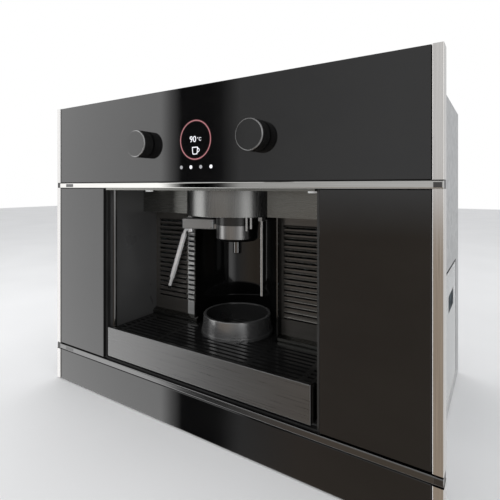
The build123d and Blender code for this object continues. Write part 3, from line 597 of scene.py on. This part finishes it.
def knob_rims():
    """Turned steel rim on the front edge of each knob."""
    steel = polished("rim_steel", grey(0.24), rough=0.12)
    y_front = knob_low[1]
    y_edge = y_front + RIM_CHAMFER
    inner = knob_radius - RIM_CHAMFER
    profile = ((inner, y_front), (knob_radius + RIM_SKIN - RIM_EASE, y_edge - RIM_EASE),
               (knob_radius - RIM_SINK, y_edge + RIM_BACK), (inner, y_front + RIM_DEPTH))
    for side, x in (("left", knob_left_x), ("right", knob_right_x)):
        add_mesh(f"{side}_knob_rim", lathe_y(profile, x, knob_z), steel, f"{side}_knob",
                 smooth=True)


DARK_PLATE_PROUD = 0.15 * MM       # dark plate in front of the bar
DARK_PLATE_DEPTH = 0.35 * MM       # dark plate let into the bar
DARK_PLATE_MARGIN = 1.3 * MM       # bar left above and below the dark plate
LEFT_PAINTED_SHADE = (16.5 * MM, 35.5 * MM)       # both ends, from the bar's left end; this plate is painted shade
RIGHT_DARK_PLATE = (8.5 * MM, 1.0 * MM)        # both ends, from the bar's right end


def dark_bar_plates():
    """Dark plates let into the front of both bars near each end; the one near the left end is painted shade.
    """
    # the dark steel of the left plates is painted shade
    dark_plate = brushed("dark_plate_steel", grey(0.09), upright(0.05), rough=(0.2, 0.3))
    for name in ("upper_bar", "lower_bar"):
        low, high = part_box(name)
        for side, x0, x1 in (("left", low[0] + LEFT_PAINTED_SHADE[0], low[0] + LEFT_PAINTED_SHADE[1]),
                             ("right", high[0] - RIGHT_DARK_PLATE[0], high[0] - RIGHT_DARK_PLATE[1])):
            thin_plate(f"{name}_{side}_cap", (x0, low[1] - DARK_PLATE_PROUD, low[2] + DARK_PLATE_MARGIN),
                       (x1, low[1] + DARK_PLATE_DEPTH, high[2] - DARK_PLATE_MARGIN), dark_plate)


FIN_TRIM = (0.1 * MM, 1.9 * MM)     # both faces of the trim, from the fin's outer face
FIN_WRAP = 0.3 * MM                 # trim in front of the fin's edge and behind it
FIN_FOOT = 1.0 * MM                 # trim above the ledge
FIN_TOP = 0.5 * MM                  # trim below the fin's top


def fin_edges():
    """Bright edge trim down the front of both fins of the recess."""
    edge = polished("fin_steel", (0.13, 0.128, 0.125), rough=0.16)
    low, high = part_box("recess_column")
    z_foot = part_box("back_ledges")[1][2] + FIN_FOOT
    for side, x0, x1 in (("left", low[0] + FIN_TRIM[0], low[0] + FIN_TRIM[1]),
                         ("right", high[0] - FIN_TRIM[1], high[0] - FIN_TRIM[0])):
        thin_plate(f"fin_edge_{side}", (x0, low[1] - FIN_WRAP, z_foot),
                   (x1, low[1] + FIN_WRAP, high[2] - FIN_TOP), edge)


LIP_PROUD = 0.2 * MM        # lip's nose in front of the hood
LIP_DEPTH = 0.4 * MM        # lip let into the hood
LIP_HALF = 0.3 * MM         # half its height
LIP_INSET = 0.3 * MM        # lip's ends inside the hood's


def hood_lips():
    """Lip along the edge of each pressed hood of the louvred back, a painted highlight, toned darker at the
    left as painted shade.
    """
    # the right lips' light tone is a painted highlight and the left lips' dark tone is painted shade
    steels = {"left": polished("lip_steel_painted_shade", (0.16, 0.155, 0.15), rough=0.2),
              "right": polished("lip_steel_painted_highlight", (0.46, 0.44, 0.41), rough=0.16)}
    section = ((-LIP_PROUD, 0), (0, -LIP_HALF), (LIP_DEPTH, -LIP_HALF), (LIP_DEPTH, LIP_HALF), (0, LIP_HALF))
    for side, steel in steels.items():
        corners = nodes[f"back_panel_{side}"].data.vertices
        points = {tuple(round(part, 5) for part in corner.co) for corner in corners}
        y_lip = min(y for _, y, _ in points)
        edge = sorted((z, x) for x, y, z in points if y == y_lip)
        bm = bmesh.new()
        for (z, x0), (_, x1) in zip(edge[::2], edge[1::2]):
            prism(bm, [(x0 + LIP_INSET, y_lip + y, z + up) for y, up in section],
                  [(x1 - LIP_INSET, y_lip + y, z + up) for y, up in section])
        add_mesh(f"hood_lips_{side}", bm, steel, BODY)


# ---------------------------------------------------------------- light and floor

# Degrees from straight ahead of the front towards its left, and how bright the room is there.
ROOM_HIGH = (
    (-180, 0.3), (-85, 0.34), (-70, 0.80), (-48, 0.78), (-36, 0.27), (-5, 0.36), (12, 0.36), (25, 0.30),
    (34, 0.26), (36, 0.04), (37.2, 0.0), (42.8, 0.0), (44.8, 0.98), (50, 0.95), (60, 0.88), (85, 0.6),
    (110, 0.2), (165, 0.2), (180, 0.3),
)
ROOM_LOW = (
    (-180, 0.3), (-85, 0.25), (-70, 0.6), (-48, 0.58), (-36, 0.17), (-5, (0.20, 0.17, 0.14)),
    (12, (0.17, 0.14, 0.11)), (25, (0.17, 0.14, 0.115)), (34, 0.14), (36, 0.03), (37.2, 0.0), (42.8, 0.0),
    (44.8, 0.98), (50, 0.95), (60, 0.92), (85, 0.6), (110, 0.2), (165, 0.2), (180, 0.3),
)
ROOM_STRENGTH = 2.4
ROOM_BLEND = -0.12          # the low level ends and the high one begins between this height and 0
FILL_COLOUR = (0.97, 0.98, 1.0)
FILL_STRENGTH = 0.8


def span(tree, source, first, last):
    """A source's run between two values, as 0 to 1."""
    node = add_node(tree, "MapRange", From_Min=first, From_Max=last)
    tree.links.new(source, node.inputs["Value"])
    return node.outputs["Result"]


def background(tree, colour, strength):
    """Even light of one colour from all around."""
    return add_node(tree, "Background", Color=rgba(colour), Strength=strength).outputs[0]


def room(tree):
    """Room around the machine: bright at the front left, a dark gap, then mid greys."""
    look = split_axes(tree, add_node(tree, "TexCoord").outputs["Generated"])
    left, ahead = (compute(tree, "MULTIPLY", look[axis], -1.0) for axis in ("X", "Y"))
    turn = span(tree, compute(tree, "ARCTAN2", left, ahead), -math.pi, math.pi)
    low, high = (gradient(tree, turn, [((degrees + 180) / 360, value) for degrees, value in stops])
                 for stops in (ROOM_LOW, ROOM_HIGH))
    raised = span(tree, look["Z"], ROOM_BLEND, 0.0)
    node = add_node(tree, "Background", Strength=ROOM_STRENGTH)
    tree.links.new(mix_colours(tree, raised, low, high), node.inputs["Color"])
    return node.outputs[0]


def mix_lights(tree, factor, off, on):
    """One light where the factor is 0 and another where it is 1."""
    node = add_node(tree, "MixShader")
    for source, socket in zip((factor, off, on), node.inputs):
        tree.links.new(source, socket)
    return node.outputs[0]


def studio():
    """White to the camera and through clear parts, a room to glossy surfaces, and soft fill to the rest."""
    world = bpy.data.worlds.new("studio")
    bpy.context.scene.world = world
    world.use_nodes = True
    tree = world.node_tree
    tree.nodes.clear()
    ray = add_node(tree, "LightPath").outputs
    seen = compute(tree, "MAXIMUM", ray["Is Camera Ray"], ray["Is Transmission Ray"])
    fill = background(tree, FILL_COLOUR, FILL_STRENGTH)
    lit = mix_lights(tree, ray["Is Glossy Ray"], fill, room(tree))
    output = add_node(tree, "OutputWorld")
    tree.links.new(mix_lights(tree, seen, lit, background(tree, 1.0, 1.0)), output.inputs["Surface"])


LAMPS = (                   # name, place, aim, side of the square, watts
    ("key", (-1.2, -1.6, 1.5), (0, -0.1, 0.25), 1.0, 14),
    ("fill", (1.6, -1.2, 1.0), (0, 0, 0.25), 1.2, 6),
    ("top", (0.0, 0.2, 1.8), (0, 0, 0.4), 1.2, 8),
)


def lamps():
    """Soft square lamps that glossy surfaces don't mirror."""
    for name, place, aim, size, watts in LAMPS:
        data = bpy.data.lights.new(name, "AREA")
        data.shape = "SQUARE"
        data.size = size
        data.energy = watts
        light = bpy.data.objects.new(name, data)
        light.visible_glossy = False
        light.location = place
        light.rotation_euler = (Vector(aim) - Vector(place)).to_track_quat("-Z", "Y").to_euler()
        bpy.context.scene.collection.objects.link(light)


FLOOR_REACH = 6.0           # floor's edges from the middle


def floor():
    """Pale floor under the machine, which takes its shadow."""
    bm = bmesh.new()
    corners = ((-1, -1), (1, -1), (1, 1), (-1, 1))
    bm.faces.new([bm.verts.new((x * FLOOR_REACH, y * FLOOR_REACH, 0)) for x, y in corners])
    mesh = bpy.data.meshes.new("floor")
    bm.to_mesh(mesh)
    bm.free()
    shader = Shader("floor_pale", Roughness=0.6)
    shader.shade("Base Color", shader.noise(scale=3, detail=2.0), (0.3, 0.80), (0.7, 0.84))
    mesh.materials.append(shader.material)
    piece = bpy.data.objects.new("floor", mesh)
    piece.visible_glossy = False
    bpy.context.scene.collection.objects.link(piece)


photo_camera()
dress_nodes()

display_ring()
white_mark = glow("mark_white", (0.95, 0.95, 1.0), strength=1.2)
dim_mark = glow("mark_dim", (0.40, 0.40, 0.42), strength=1.0)
display_words(white_mark)
display_mug(white_mark)
touch_points(white_mark, dim_mark)

knob_rims()
dark_bar_plates()
fin_edges()
hood_lips()

studio()
floor()
lamps()

bpy.context.scene.view_settings.view_transform = "Standard"
